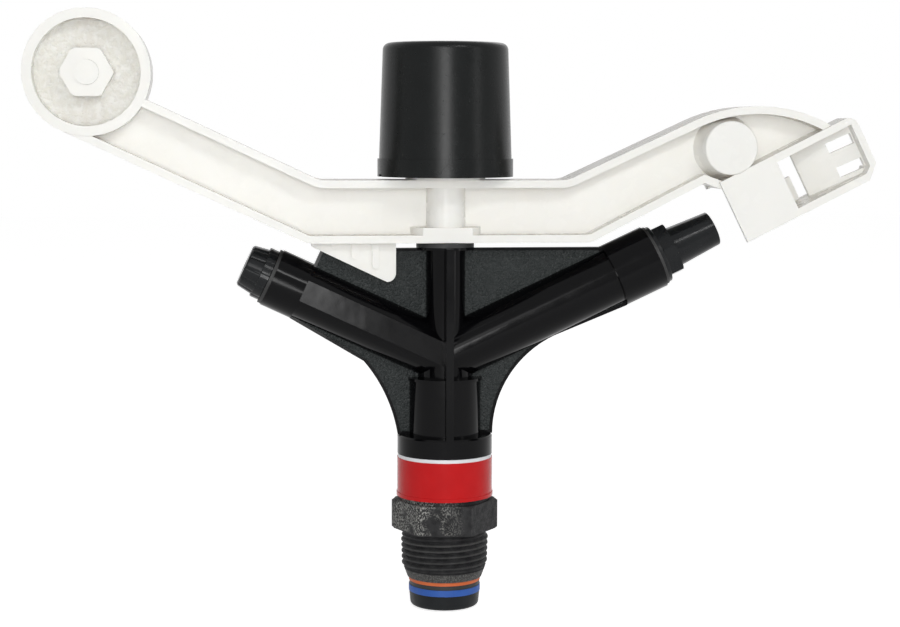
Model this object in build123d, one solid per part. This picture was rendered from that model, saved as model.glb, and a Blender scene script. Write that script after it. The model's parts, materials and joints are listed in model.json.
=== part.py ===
from build123d import *
from math import asin, cos, degrees, pi, radians, sin, sqrt
import os

# Two-nozzle impulse sprinkler on a 1 inch pipe thread. Millimetres, +Z up.
# The origin is on the vertical axis, where the pipe thread meets the wrench hexagon.
# +X points to the range nozzle and the drive spoon, -Y is the front.

# Clearances
run_gap = 0.06        # radial, between a shaft and the hole that it turns or slides in
fit_gap = 0.05        # radial, between pieces that are pressed or screwed together
axial_gap = 0.3       # between faces that turn past each other on the fulcrum pin
cover_gap = 0.4       # radial, between the sand sleeve and the neck that it covers

# Inlet nipple
thread_radius = 16.7
thread_length = 15.0
lead_radius = 14.2
lead_length = 3.4
hex_across_flats = 34.9
hex_height = 11.4
hex_turn = 26.0       # degrees, a face looks almost straight at the front
hex_chamfer = 1.2
neck_radius = 16.8
neck_height = 5.0

# Bearing tube and its seals
tube_radius = 10.5
tube_bore = 8.6
water_chamber = 9.9   # from the tube's gasket up to the crossing of the branches
tube_flange_radius = 13.5
tube_flange_height = 5.6
tube_flange_taper = 0.6
tube_flange_round = 1.4
seal_radius = 13.6
seal_lower_height = 2.4
seal_middle_height = 1.7
seal_upper_height = 1.4
seal_middle_inset = 0.25

# Bearing spring, sand sleeve and the play that the spring takes up
bearing_play = 1.6
sleeve_radius = 18.07
sleeve_height = 14.7
sleeve_wall = 0.87
sleeve_lip = 0.25
sleeve_washer_height = 1.36
sleeve_washer_inset = 0.25
spring_seat_height = 1.0
bearing_wire = 2.0
bearing_coils = 3.5
coil_pieces = 14      # straight pieces in one turn of either spring

# Sprinkler body
collar_radius = 18.0
collar_height = 7.3
collar_edge = 0.6
barrel_radius = 13.55
barrel_height = 29.0
barrel_band = 1.0     # height of the raised band at the top of the barrel
barrel_band_proud = 0.5
column_half_width = 7.3
column_spread = 2.0   # half the distance between the column's two round sides
column_height = 41.4  # from the crossing of the branches up to the pad
plate_thickness = 2.4
plate_drop = 0.4      # of the plate's level top below the pad
plate_rim_width = 1.1
plate_rim_proud = 0.35
rib_thickness = 2.8
water_bore = 8.6
tube_gasket_height = 1.5

# Branches, both at the same angle to the horizontal
branch_angle = 25.0
branch_lift = 7.84    # from the barrel's top up to where the branch axes cross
branch_bore = 8.0
range_branch_radius = 10.7
range_collar_start = 70.9
range_collar_length = 17.0
range_collar_radius = 12.35
spreader_branch_radius = 10.35
spreader_collar_start = 59.4
spreader_collar_length = 12.2
spreader_collar_radius = 11.1
socket_radius = 9.3
socket_depth = 11.0
facet_width = 8.2     # flat raised strip along the front of the spreader branch
facet_offset = 1.0    # of the strip's middle above the branch axis
facet_proud = 0.25
range_web_radius = 40.8
spreader_web_radius = 58.0
spreader_knee_reach = 30.8
spreader_knee_drop = 1.5

# Marks that the moulding pins leave on the plate
dimple_radius = 1.5
dimple_depth = 0.25
dimple_reach = 30.5
dimple_drop = 4.4

# Range nozzle
gasket_height = 1.2
range_gasket_radius = 11.7
range_shoulder_radius = 11.3
range_shoulder_height = 1.4
range_hex_across_flats = 18.6
range_hex_height = 6.4
range_tip_root = 7.6
range_tip_radius = 6.6
range_tip_length = 16.4
range_orifice = 4.4
thread_engagement = 9.5

# Spreader nozzle
spreader_gasket_radius = 10.7
spreader_grip_radius = 9.9
spreader_grip_height = 5.6
spreader_nose_radius = 8.0
spreader_nose_height = 4.2
spreader_orifice = 2.4
grip_flutes = 12
grip_flute_radius = 0.8

# Stream straightener in the range branch
vane_start = 34.0
vane_length = 26.0
vane_thickness = 1.0
vane_blades = 6
vane_hub_radius = 1.6

# Pivot of the drive arm
pad_radius = 10.9
pad_height = 1.5
pin_radius = 4.0
pin_grip = 23.3       # length of the pin inside the column
pin_knurl_length = 14.0
pin_knurl_groove = 0.4
bushing_radius = 6.0
bushing_length = 11.0
thrust_washer_radius = 6.8
thrust_washer_height = 1.0

# Drive arm
arm_height = 23.3
arm_depth = 19.2      # front to back, over the flanges
arm_flange = 2.9
arm_web = 2.6
arm_angle_left = 25.2
arm_angle_right = 24.8
arm_angle_under = 27.3
bend_top_left = 47.3
bend_bottom_left = 51.9
bend_top_right = 44.9
bend_bottom_right = 54.0
bend_radius = 9.0
crown_start = 93.2    # where the top flange starts to curve over
crown_end = 48.0      # where it meets the spoon, along the spoon
underside_end = 5.4   # from the end of the straight bottom flange to the spoon
arm_boss_half_width = 7.3
arm_boss_spread = 2.0
arm_step_radius = 13.3
arm_step_height = 2.8
arm_spigot_radius = 8.6
arm_spigot_height = 4.6

# Counterweight hub
hub_reach = 131.1
hub_rise = 62.3       # above the arm's underside
hub_radius = 23.0
hub_depth = 20.0
hub_recess_radius = 19.4
hub_recess_depth = 7.8
nut_across_flats = 17.2
nut_height = 7.4
nut_chamfer = 1.0
bolt_radius = 4.5
bolt_proud = 0.8
bolt_head_height = 4.6
bolt_head_across_flats = 13.0
disc_height = 5.2

# Balance boss
boss_reach = 106.5
boss_rise = 35.3      # above the arm's underside
boss_root_radius = 12.4
boss_radius = 10.0
boss_proud = 2.4      # beyond the flanges
boss_wall = 1.5
boss_edge = 0.8
slug_gap = 0.4        # between the slug's inner end and the boss's closed end

# Striker lug, which rests on the front of the plate
striker_inner = 18.9
striker_outer = 50.3
striker_drop = 14.7   # below the arm's underside
striker_thickness = 3.2
striker_angle = 25.5
striker_corner = 3.4
striker_ribs = (41.8, 34.1, 26.5)
striker_rib_width = 2.7
striker_rib_proud = 1.0
striker_rib_margin = 4.4

# Drive spoon, a slanted channel that the jet passes through
spoon_x = 102.4
spoon_rise = 22.4     # of its upper near corner above the arm's underside
spoon_angle = 26.5
spoon_length = 57.3
spoon_height = 25.2
spoon_front = 11.2
spoon_back = 9.6
spoon_strap = 2.9
spoon_end_wall = 2.6
spoon_corner = 4.0
spoon_chamfer = 5.0
panel_length = 22.9
panel_thickness = 2.0
guide_length = 29.6
guide_height = 12.4
guide_thickness = 2.2
guide_lead = 6.0
slot_length = 9.4
blade_thickness = 2.2
blade_rise = 8.6      # how much nearer to the front the blade's far end is
blade_depth = 2.4     # of the blade's near end behind the arm's middle
window_start = 44.9
window_length = 9.4
window_height = 4.2
window_upper = 8.4    # middle of the upper window, below the top of the spoon
window_lower = 18.6

# Spring cap and arm spring
cap_gap = 1.2         # between the cap's rim and the arm
cap_height = 49.4
cap_band_radius = 25.4
cap_band_height = 6.6
cap_band_step = 0.45
cap_foot_radius = 24.8
cap_top_radius = 23.3
cap_round = 2.6
cap_wall = 2.0
cap_notch_width = 3.0
cap_notch_height = 0.9
post_radius = 7.6
post_socket = 30.0    # depth of the post's hole for the pin
arm_wire = 1.6
arm_spring_radius = 12.2
arm_spring_coils = 7.0
arm_spring_height = 33.0
spring_leg = 3.0
anchor_reach = 16.0
anchor_width = 6.0
spring_shelf_radius = 15.0
spring_shelf_height = 1.6

# Heights that follow from the sizes above
nipple_bottom = -(thread_length + lead_length)
neck_top = hex_height + neck_height
sleeve_bottom = hex_height + bearing_play
sleeve_top = sleeve_bottom + sleeve_height
collar_bottom = sleeve_top + sleeve_washer_height
collar_top = collar_bottom + collar_height
barrel_end = collar_bottom + barrel_height
branch_height = barrel_end + branch_lift
tube_reach = branch_height - water_chamber - tube_gasket_height
body_top = branch_height + column_height
plate_top = body_top - plate_drop
pin_root = body_top - pin_grip
arm_bottom = body_top + pad_height + axial_gap
arm_top = arm_bottom + arm_height
striker_low = arm_bottom - striker_drop
hub_height = arm_bottom + hub_rise
boss_height = arm_bottom + boss_rise
spoon_z = arm_bottom + spoon_rise
spigot_top = arm_top + arm_spigot_height
thrust_bottom = spigot_top + axial_gap
post_bottom = thrust_bottom + thrust_washer_height
cap_bottom = arm_top + cap_gap
cap_top = cap_bottom + cap_height

branch_rise = sin(radians(branch_angle))
branch_run = cos(radians(branch_angle))
front_view = Plane(origin=(0, 0, 0), x_dir=(1, 0, 0), z_dir=(0, -1, 0))
spoon_view = Plane(
    origin=(spoon_x, 0, spoon_z),
    x_dir=(cos(radians(spoon_angle)), 0, sin(radians(spoon_angle))),
    z_dir=(0, -1, 0),
)


def post(radius, bottom, top):
    """Round bar on the vertical axis between two heights."""
    return Pos(0, 0, bottom) * Cylinder(radius, top - bottom, align=(Align.CENTER, Align.CENTER, Align.MIN))


def ring(radius, bore, bottom, top):
    """Round washer or tube on the vertical axis."""
    return post(radius, bottom, top) - post(bore, bottom, top)


def hexagon(across_flats, height, turn=0.0):
    """Hexagonal bar that stands on the XY plane."""
    return extrude(RegularPolygon(across_flats / 2, 6, major_radius=False, rotation=turn), height)


def hexagon_bevel(across_flats, height, bevel):
    """Round envelope that takes the sharp corners off both ends of a hexagonal bar."""
    corner = across_flats / sqrt(3) + bevel / 2
    bar = Cylinder(corner, height, align=(Align.CENTER, Align.CENTER, Align.MIN))
    return chamfer(bar.edges().filter_by(GeomType.CIRCLE), bevel)


def branch_point(side, distance, above=0.0):
    """Point in the middle plane, at a distance along a branch and off its axis."""
    x = side * (distance * branch_run - above * branch_rise)
    return (x, branch_height + distance * branch_rise + above * branch_run)


def branch_place(side, distance):
    """Location whose Z axis runs outward along a branch."""
    x, z = branch_point(side, distance)
    return Location(Plane(origin=(x, 0, z), x_dir=(0, 1, 0), z_dir=(side * branch_run, 0, branch_rise)))


def branch_bar(side, radius, start, length, end_radius=None):
    """Round or tapered bar along a branch."""
    align = (Align.CENTER, Align.CENTER, Align.MIN)
    if end_radius is None:
        bar = Cylinder(radius, length, align=align)
    else:
        bar = Cone(radius, end_radius, length, align=align)
    return branch_place(side, start) * bar


def plate_slab(face, thickness):
    """Slab of a front-view outline, centred on the middle plane."""
    return extrude(face, thickness / 2, both=True)


def slot_bar(half_width, spread, bottom, top):
    """Upright bar with flat flanks and two round sides, front and back."""
    outline = SlotCenterToCenter(2 * spread, 2 * half_width, rotation=90) if spread else Circle(half_width)
    return Pos(0, 0, bottom) * extrude(outline, top - bottom)


def inlet_nipple():
    """Threaded inlet with its hexagon, and a neck under the sand sleeve."""
    lead = Pos(0, 0, nipple_bottom) * Cone(
        lead_radius, thread_radius, lead_length, align=(Align.CENTER, Align.CENTER, Align.MIN)
    )
    body = lead + post(thread_radius, -thread_length, 0)
    wrench = hexagon(hex_across_flats, hex_height, hex_turn)
    body += wrench & hexagon_bevel(hex_across_flats, hex_height, hex_chamfer)
    body += post(neck_radius, hex_height, neck_top)
    return body - post(tube_radius + run_gap, nipple_bottom, neck_top)


def bearing_tube():
    """Tube that screws up into the body and holds the seals against the nipple."""
    top = nipple_bottom - seal_lower_height - seal_middle_height - seal_upper_height
    bottom = top - tube_flange_height
    flange = Pos(0, 0, bottom) * Cone(
        tube_flange_radius - tube_flange_taper,
        tube_flange_radius,
        tube_flange_height,
        align=(Align.CENTER, Align.CENTER, Align.MIN),
    )
    flange = fillet(flange.edges().group_by(Axis.Z)[0], tube_flange_round)
    tube = flange + post(tube_radius, top, tube_reach)
    return tube - post(tube_bore, bottom, tube_reach)


def seal_washers():
    """Three flat seals between the nipple and the tube's flange, from the bottom up."""
    heights = (seal_lower_height, seal_middle_height, seal_upper_height)
    radii = (seal_radius, seal_radius - seal_middle_inset, seal_radius)
    level = nipple_bottom - sum(heights)
    washers = []
    for height, radius in zip(heights, radii):
        washers.append(ring(radius, tube_radius + run_gap, level, level + height))
        level += height
    return washers


def sand_sleeve():
    """Thin sleeve around the bearing spring, with a rolled lower edge."""
    outside = post(sleeve_radius, sleeve_bottom, sleeve_top)
    outside += post(sleeve_radius + sleeve_lip, sleeve_bottom, sleeve_bottom + 2 * sleeve_lip + sleeve_wall)
    return outside - post(neck_radius + cover_gap, sleeve_bottom, sleeve_top)


def helical_spring(radius, wire, coils, bottom, height):
    """Coil of straight hexagonal pieces of wire, between the bottom and the bottom plus the height."""
    pieces = round(coils * coil_pieces)
    points = []
    for step in range(pieces + 1):
        turn = 2 * pi * coils * step / pieces
        level = bottom + wire / 2 + (height - wire) * step / pieces
        points.append((radius * cos(turn), radius * sin(turn), level))
    path = Polyline(*points)
    section = Plane(origin=path @ 0, z_dir=path % 0) * RegularPolygon(wire / 2, 6)
    return sweep(section, path=path, transition=Transition.RIGHT)


def bearing_spring():
    """Compression spring that lifts the body and so closes the seals."""
    bottom = neck_top + spring_seat_height
    radius = (tube_radius + neck_radius) / 2
    return helical_spring(radius, bearing_wire, bearing_coils, bottom, sleeve_top - bottom)


def plate_outline():
    """Middle plate of the body: level top, ends at the branch collars, hollow curves below."""
    range_low = branch_point(1, range_collar_start, -range_collar_radius)
    range_high = branch_point(1, range_collar_start, range_collar_radius)
    spreader_low = branch_point(-1, spreader_collar_start, -spreader_collar_radius)
    spreader_lift = (plate_top - branch_point(-1, spreader_collar_start)[1]) / branch_run
    spreader_high = branch_point(-1, spreader_collar_start, spreader_lift)
    range_foot = (collar_radius, collar_top)
    range_knee = (
        collar_radius + range_web_radius * (1 - branch_rise),
        collar_top + range_web_radius * branch_run,
    )
    spreader_foot = (-collar_radius, collar_top)
    spreader_knee = (-spreader_knee_reach, branch_height - spreader_knee_drop)
    edges = [
        Line(spreader_foot, range_foot),
        TangentArc(range_foot, range_knee, tangent=(0, 1)),
        Line(range_knee, range_low),
        Line(range_low, range_high),
        Line(range_high, (range_high[0], plate_top)),
        Line((range_high[0], plate_top), spreader_high),
        Line(spreader_high, spreader_low),
        Line(spreader_low, spreader_knee),
        RadiusArc(spreader_knee, spreader_foot, spreader_web_radius),
    ]
    return front_view * make_face(Curve() + [edge for edge in edges if edge.length > fit_gap])


def sprinkler_body():
    """Moulded body: collar, barrel, two branches, column, plate and ribs in one piece."""
    collar = post(collar_radius, collar_bottom, collar_top)
    collar = chamfer(collar.edges().group_by(Axis.Z)[-1], collar_edge)
    body = collar + post(barrel_radius, collar_bottom, barrel_end)
    body += post(barrel_radius + barrel_band_proud, barrel_end - barrel_band, barrel_end)
    body += slot_bar(column_half_width, column_spread, branch_height, body_top)
    body += post(pad_radius, body_top - barrel_band, body_top)
    body += branch_bar(1, range_branch_radius, 0, range_collar_start)
    body += branch_bar(1, range_collar_radius, range_collar_start, range_collar_length)
    body += branch_bar(-1, spreader_branch_radius, 0, spreader_collar_start)
    body += branch_bar(-1, spreader_collar_radius, spreader_collar_start, spreader_collar_length)
    body += Pos(0, 0, branch_height) * Sphere(spreader_branch_radius)
    body += post(spreader_branch_radius, barrel_end, branch_height)
    outline = plate_outline()
    rim = outline - offset(outline, -plate_rim_width)
    body += plate_slab(outline, plate_thickness)
    body += plate_slab(rim, plate_thickness + 2 * plate_rim_proud)
    rib_box = Box(rib_thickness, 2 * collar_radius, body_top - collar_bottom - collar_edge)
    body += Pos(0, 0, (body_top + collar_bottom + collar_edge) / 2) * rib_box
    body += spreader_facet()
    body -= water_ways()
    body -= moulding_dimples()
    return body


def spreader_facet():
    """Flat raised strip along the front and the back of the spreader branch."""
    depth = 2 * (spreader_branch_radius + facet_proud)
    strip = Box(facet_width, depth, spreader_collar_start, align=(Align.CENTER, Align.CENTER, Align.MIN))
    x, z = branch_point(-1, 0, facet_offset)
    place = Plane(origin=(x, 0, z), x_dir=(branch_rise, 0, branch_run), z_dir=(-branch_run, 0, branch_rise))
    return Location(place) * strip


def water_ways():
    """Everything that water, the tube, the nozzles and the pin take out of the body."""
    tube_end = tube_reach + tube_gasket_height
    cut = post(tube_radius + fit_gap, collar_bottom, tube_end)
    cut += post(water_bore, tube_end, branch_height)
    cut += Pos(0, 0, branch_height) * Sphere(branch_bore)
    for side, start, length in (
        (1, range_collar_start, range_collar_length),
        (-1, spreader_collar_start, spreader_collar_length),
    ):
        end = start + length
        cut += branch_bar(side, branch_bore, 0, end)
        cut += branch_bar(side, socket_radius, end - socket_depth, socket_depth)
    cut += post(pin_radius + fit_gap, pin_root, body_top)
    return cut


def moulding_dimples():
    """Shallow round marks on the front and the back of the plate."""
    mark = Cylinder(dimple_radius, 2 * dimple_depth, rotation=(90, 0, 0))
    height = body_top - dimple_drop
    front = Pos(dimple_reach, -plate_thickness / 2, height) * mark
    return front + Pos(dimple_reach, plate_thickness / 2, height) * mark


def range_nozzle():
    """Long nozzle with a hexagon and a tapered tip."""
    start = range_collar_start + range_collar_length + gasket_height
    inner_end = start - gasket_height - thread_engagement
    body = branch_bar(1, socket_radius - fit_gap, inner_end, thread_engagement + gasket_height)
    body += branch_bar(1, range_shoulder_radius, start, range_shoulder_height)
    hex_start = start + range_shoulder_height
    wrench = hexagon(range_hex_across_flats, range_hex_height)
    body += branch_place(1, hex_start) * wrench
    tip_start = hex_start + range_hex_height
    body += branch_bar(1, range_tip_root, tip_start, range_tip_length, range_tip_radius)
    throat = tip_start - inner_end
    body -= branch_bar(1, branch_bore, inner_end, throat, range_orifice)
    body -= branch_bar(1, range_orifice, tip_start, range_tip_length)
    return body


def spreader_nozzle():
    """Short nozzle with a fluted grip and a stepped nose."""
    start = spreader_collar_start + spreader_collar_length + gasket_height
    inner_end = start - gasket_height - thread_engagement
    body = branch_bar(-1, socket_radius - fit_gap, inner_end, thread_engagement + gasket_height)
    grip = Cylinder(spreader_grip_radius, spreader_grip_height, align=(Align.CENTER, Align.CENTER, Align.MIN))
    flute = Cylinder(grip_flute_radius, spreader_grip_height, align=(Align.CENTER, Align.CENTER, Align.MIN))
    grip -= PolarLocations(spreader_grip_radius, grip_flutes) * flute
    body += branch_place(-1, start) * grip
    nose_start = start + spreader_grip_height
    body += branch_bar(-1, spreader_nose_radius, nose_start, spreader_nose_height)
    nose_end = nose_start + spreader_nose_height
    body -= branch_bar(-1, branch_bore, inner_end, nose_start - inner_end, spreader_orifice)
    body -= branch_bar(-1, spreader_orifice, nose_start, nose_end - nose_start)
    return body


def nozzle_gasket(side, radius, collar_end):
    """Flat gasket between a nozzle's shoulder and the end of its collar."""
    washer = branch_bar(side, radius, collar_end, gasket_height)
    return washer - branch_bar(side, socket_radius, collar_end, gasket_height)


def stream_vane():
    """Star of thin blades that takes the swirl out of the water."""
    star = Circle(vane_hub_radius)
    for blade in range(vane_blades):
        turn = blade * 360 / vane_blades
        blade_shape = Rectangle(branch_bore - run_gap, vane_thickness, align=(Align.MIN, Align.CENTER))
        star += Rot(0, 0, turn) * blade_shape
    star &= Circle(branch_bore - run_gap)
    return branch_place(1, vane_start) * extrude(star, vane_length)


def fulcrum_pin():
    """Steel pin with a grooved root that is moulded into the column."""
    top = post_bottom + post_socket
    pin = post(pin_radius, pin_root, top)
    groove = ring(pin_radius, pin_radius - pin_knurl_groove, 0, vane_thickness)
    for share in (1, 2, 3):
        pin -= Pos(0, 0, pin_root + share * pin_knurl_length / 4) * groove
    return chamfer(pin.edges().group_by(Axis.Z)[-1], pin_knurl_groove)


def arm_outline():
    """Front view of the bent arm, without the hub's disc and the spoon."""
    left = radians(arm_angle_left)
    right = radians(arm_angle_right)
    under = radians(arm_angle_under)
    hub = (-hub_reach, hub_height)
    hub_low = (-hub_reach - hub_radius * sin(left), hub_height - hub_radius * cos(left))
    crown_z = arm_top + (crown_start - bend_top_right) * sin(right) / cos(right)
    crown = (crown_start, crown_z)
    strap_top = spoon_point(crown_end, 0)
    strap_low = spoon_point(crown_end, spoon_strap)
    strap_side = spoon_point(0, spoon_strap)
    flange_x = spoon_x - underside_end
    flange_end = (flange_x, arm_bottom + (flange_x - bend_bottom_right) * sin(under) / cos(under))
    path = Curve() + [
        Line(hub, (-bend_top_left, arm_top)),
        Line((-bend_top_left, arm_top), (bend_top_right, arm_top)),
        Line((bend_top_right, arm_top), crown),
        TangentArc(crown, strap_top, tangent=(cos(right), sin(right))),
        Line(strap_top, strap_low),
        Line(strap_low, strap_side),
        Line(strap_side, flange_end),
        Line(flange_end, (bend_bottom_right, arm_bottom)),
        Line((bend_bottom_right, arm_bottom), (-bend_bottom_left, arm_bottom)),
        Line((-bend_bottom_left, arm_bottom), hub_low),
        Line(hub_low, hub),
    ]
    face = make_face(path)
    bends = face.vertices().filter_by(lambda v: abs(v.X) < crown_start - bend_radius)
    return front_view * fillet(bends, bend_radius)


def spoon_point(along, below):
    """Point of the front view, along the spoon and below its upper edge."""
    point = spoon_view.from_local_coords(Vector(along, -below, 0))
    return (point.X, point.Z)


def hub_place(y):
    """Location on the hub's axis, with its Z axis to the front."""
    return Location(Plane(origin=(-hub_reach, y, hub_height), x_dir=(1, 0, 0), z_dir=(0, -1, 0)))


def boss_place(y):
    """Location on the balance boss's axis, with its Z axis to the front."""
    return Location(Plane(origin=(boss_reach, y, boss_height), x_dir=(1, 0, 0), z_dir=(0, -1, 0)))


def round_bar(radius, height, end_radius=None):
    """Round or tapered bar that stands on its own base."""
    align = (Align.CENTER, Align.CENTER, Align.MIN)
    if end_radius is None:
        return Cylinder(radius, height, align=align)
    return Cone(radius, end_radius, height, align=align)


def arm_beam():
    """Beam with a flange along its top and bottom edges and a web in the middle plane."""
    outline = arm_outline()
    beam = plate_slab(outline, arm_depth)
    pocket = offset(outline, -arm_flange, kind=Kind.INTERSECTION)
    pocket -= hub_place(0) * Circle(hub_radius)
    for y in (-arm_depth / 2, arm_web / 2):
        beam -= Pos(0, y + (arm_depth - arm_web) / 4, 0) * plate_slab(pocket, (arm_depth - arm_web) / 2)
    return beam


def hub_hollow():
    """Front and back recess of the hub, and the bolt's hole between them."""
    recess = round_bar(hub_recess_radius, hub_recess_depth)
    hole = hub_place(hub_depth / 2) * round_bar(bolt_radius + fit_gap, hub_depth)
    return hub_place(-hub_depth / 2 + hub_recess_depth) * recess + hub_place(hub_depth / 2) * recess + hole


def arm_pivot():
    """Upright boss round the fulcrum pin, with a step at its foot and the spring's shelf on top."""
    boss = slot_bar(arm_boss_half_width, arm_boss_spread, arm_bottom, arm_top)
    step_box = Pos(0, 0, arm_bottom + arm_height / 2) * Box(2 * arm_step_radius, arm_depth, arm_height)
    step = post(arm_step_radius, arm_bottom, arm_bottom + arm_flange + arm_step_height)
    boss += step & step_box
    boss += post(spring_shelf_radius, arm_top, arm_top + spring_shelf_height) & Box(
        4 * spring_shelf_radius, 2 * spring_shelf_radius, 4 * arm_top
    )
    return boss + post(arm_spigot_radius, arm_top, spigot_top)


def balance_boss():
    """Tapered boss beside the spoon that holds a slug, open at the back."""
    height = arm_depth / 2 + boss_proud
    boss = boss_place(0) * round_bar(boss_root_radius, height, boss_radius)
    return fillet(boss.edges().group_by(Axis.Y)[0], boss_edge)


def slug_radius():
    """Largest straight slug that leaves the boss its wall at the closed end."""
    return boss_radius - boss_wall - fit_gap


def striker():
    """Lug that swings against the body's plate, with three upright ribs."""
    slope = sin(radians(striker_angle)) / cos(radians(striker_angle))
    heel = striker_inner + striker_corner
    far_z = striker_low + (striker_outer - heel) * slope
    face = make_face(
        Polyline(
            (-striker_inner, arm_bottom + fit_gap),
            (-striker_inner, striker_low),
            (-heel, striker_low),
            (-striker_outer, far_z),
            (-striker_outer, arm_bottom + fit_gap),
            close=True,
        )
    )
    corner = face.vertices().sort_by(Axis.Y)[0:2]
    face = front_view * fillet(corner.sort_by(Axis.X)[-1], striker_corner - fit_gap)
    back = plate_thickness / 2 + plate_rim_proud
    lug = Pos(0, -back, 0) * extrude(face, striker_thickness)
    for x in striker_ribs:
        low = striker_low + (x - heel) * slope + striker_rib_margin
        shape = Pos(-x, low) * Circle(striker_rib_width / 2)
        top = arm_bottom + fit_gap
        shape += Pos(-x, (low + top) / 2) * Rectangle(striker_rib_width, top - low)
        rib = extrude(front_view * shape, striker_thickness + striker_rib_proud)
        lug += Pos(0, -back, 0) * rib
    return lug


def spoon_slab(x, z, length, height, front, back):
    """Box in the spoon's slanted frame, from a front depth to a back depth."""
    shape = Pos(x + length / 2, -z - height / 2) * Rectangle(length, height)
    slab = extrude(spoon_view * shape, front + back)
    return Pos(0, back, 0) * slab


def drive_spoon():
    """Slanted channel: front panel, guide behind it, see-through slot and deflecting blade."""
    outline = make_face(
        Polyline(
            (0, 0),
            (spoon_length, 0),
            (spoon_length, -spoon_height + spoon_chamfer),
            (spoon_length - spoon_chamfer, -spoon_height),
            (0, -spoon_height),
            close=True,
        )
    )
    outline = fillet(outline.vertices().sort_by(Axis.Y)[-2:].sort_by(Axis.X)[-1], spoon_corner)
    inner = make_face(
        Polyline(
            (-spoon_end_wall, -spoon_strap),
            (spoon_length - spoon_end_wall, -spoon_strap),
            (spoon_length - spoon_end_wall, -spoon_height + spoon_chamfer),
            (spoon_length - spoon_chamfer, -spoon_height + spoon_strap),
            (-spoon_end_wall, -spoon_height + spoon_strap),
            close=True,
        )
    )
    depth = spoon_front + spoon_back
    frame = Pos(0, spoon_back, 0) * extrude(spoon_view * (outline - inner), depth)
    frame += spoon_slab(0, 0, panel_length, spoon_height, spoon_front, panel_thickness - spoon_front)
    frame += spoon_guide()
    return frame + spoon_blade()


def spoon_guide():
    """Rear wall of the channel, which keeps the jet in line with the blade."""
    front = guide_thickness - spoon_back
    wall = spoon_slab(0, spoon_height - guide_height, guide_length, guide_height, front, spoon_back)
    tab = spoon_slab(-guide_lead, 0, guide_lead + spoon_strap, spoon_strap, front, spoon_back)
    return wall + tab


def spoon_blade():
    """Blade that runs forward along the channel and throws the water to the front."""
    near = panel_length + slot_length
    far = spoon_length - spoon_end_wall
    plan = make_face(
        Polyline(
            (near, blade_depth),
            (far, blade_depth - blade_rise),
            (far, blade_depth - blade_rise + blade_thickness),
            (near, blade_depth + blade_thickness),
            close=True,
        )
    )
    angle = radians(spoon_angle)
    start = spoon_view.from_local_coords(Vector(0, -spoon_height + spoon_strap, 0))
    plan_view = Plane(origin=start, x_dir=(cos(angle), 0, sin(angle)), z_dir=(-sin(angle), 0, cos(angle)))
    blade = extrude(plan_view * plan, spoon_height - 2 * spoon_strap)
    depth = spoon_front + spoon_back
    for middle in (window_upper, window_lower):
        start_z = middle - window_height / 2
        blade -= spoon_slab(window_start, start_z, window_length, window_height, spoon_front, depth)
    return blade


def drive_arm():
    """Whole moulded arm with its hub, pivot, striker, balance boss and spoon."""
    arm = arm_beam() + hub_place(hub_depth / 2) * round_bar(hub_radius, hub_depth)
    arm += arm_pivot() + balance_boss() + striker() + drive_spoon()
    arm -= hub_hollow()
    arm -= post(pin_radius + axial_gap, arm_bottom, spigot_top)
    arm -= post(bushing_radius + fit_gap, arm_bottom, arm_bottom + bushing_length)
    arm -= post(bushing_radius + fit_gap, spigot_top - bushing_length, spigot_top)
    slug_depth = arm_depth / 2 + boss_proud - boss_wall
    arm -= boss_place(arm_web / 2) * round_bar(slug_radius() + fit_gap, slug_depth + arm_web / 2)
    arm -= spring_leg_hole()
    return arm


def at_leg(side, z):
    """Location of a leg of the arm spring, just inside the end of its coil."""
    turn = side * degrees(asin(arm_wire / 2 / arm_spring_radius))
    return Rot(0, 0, turn) * Pos(arm_spring_radius, 0, z)


def spring_leg_hole():
    """Hole in the arm's top flange for the lower leg of the arm spring."""
    hole = Cylinder(arm_wire / 2 + axial_gap, 2 * spring_leg)
    return at_leg(1, arm_top + spring_shelf_height) * hole


def counterweight_disc():
    """Steel disc in the back of the hub."""
    floor = hub_depth / 2 - hub_recess_depth
    disc = hub_place(floor + disc_height) * round_bar(hub_recess_radius - fit_gap, disc_height)
    return disc - hub_place(floor + disc_height) * round_bar(bolt_radius + fit_gap, disc_height)


def counterweight_bolt():
    """Bolt through the disc and the hub, with a round end in front of the nut."""
    head_start = hub_depth / 2 - hub_recess_depth + disc_height
    tip = hub_depth / 2 - hub_recess_depth + nut_height + bolt_proud
    bolt = hub_place(head_start) * round_bar(bolt_radius, head_start + tip)
    return bolt + hub_place(head_start + bolt_head_height) * hexagon(bolt_head_across_flats, bolt_head_height)


def counterweight_nut():
    """Large plastic nut in the front recess of the hub."""
    floor = hub_depth / 2 - hub_recess_depth
    nut = hexagon(nut_across_flats, nut_height)
    nut &= hexagon_bevel(nut_across_flats, nut_height, nut_chamfer)
    nut -= round_bar(bolt_radius + fit_gap, nut_height)
    return hub_place(-floor) * nut


def balance_slug():
    """Steel slug pressed into the balance boss from behind."""
    length = arm_depth / 2 + boss_proud - boss_wall - slug_gap + arm_web / 2
    return boss_place(arm_web / 2) * round_bar(slug_radius(), length)


def arm_bushing(bottom):
    """Plain bushing between the arm and the pin."""
    return ring(bushing_radius, pin_radius + run_gap, bottom, bottom + bushing_length)


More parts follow.
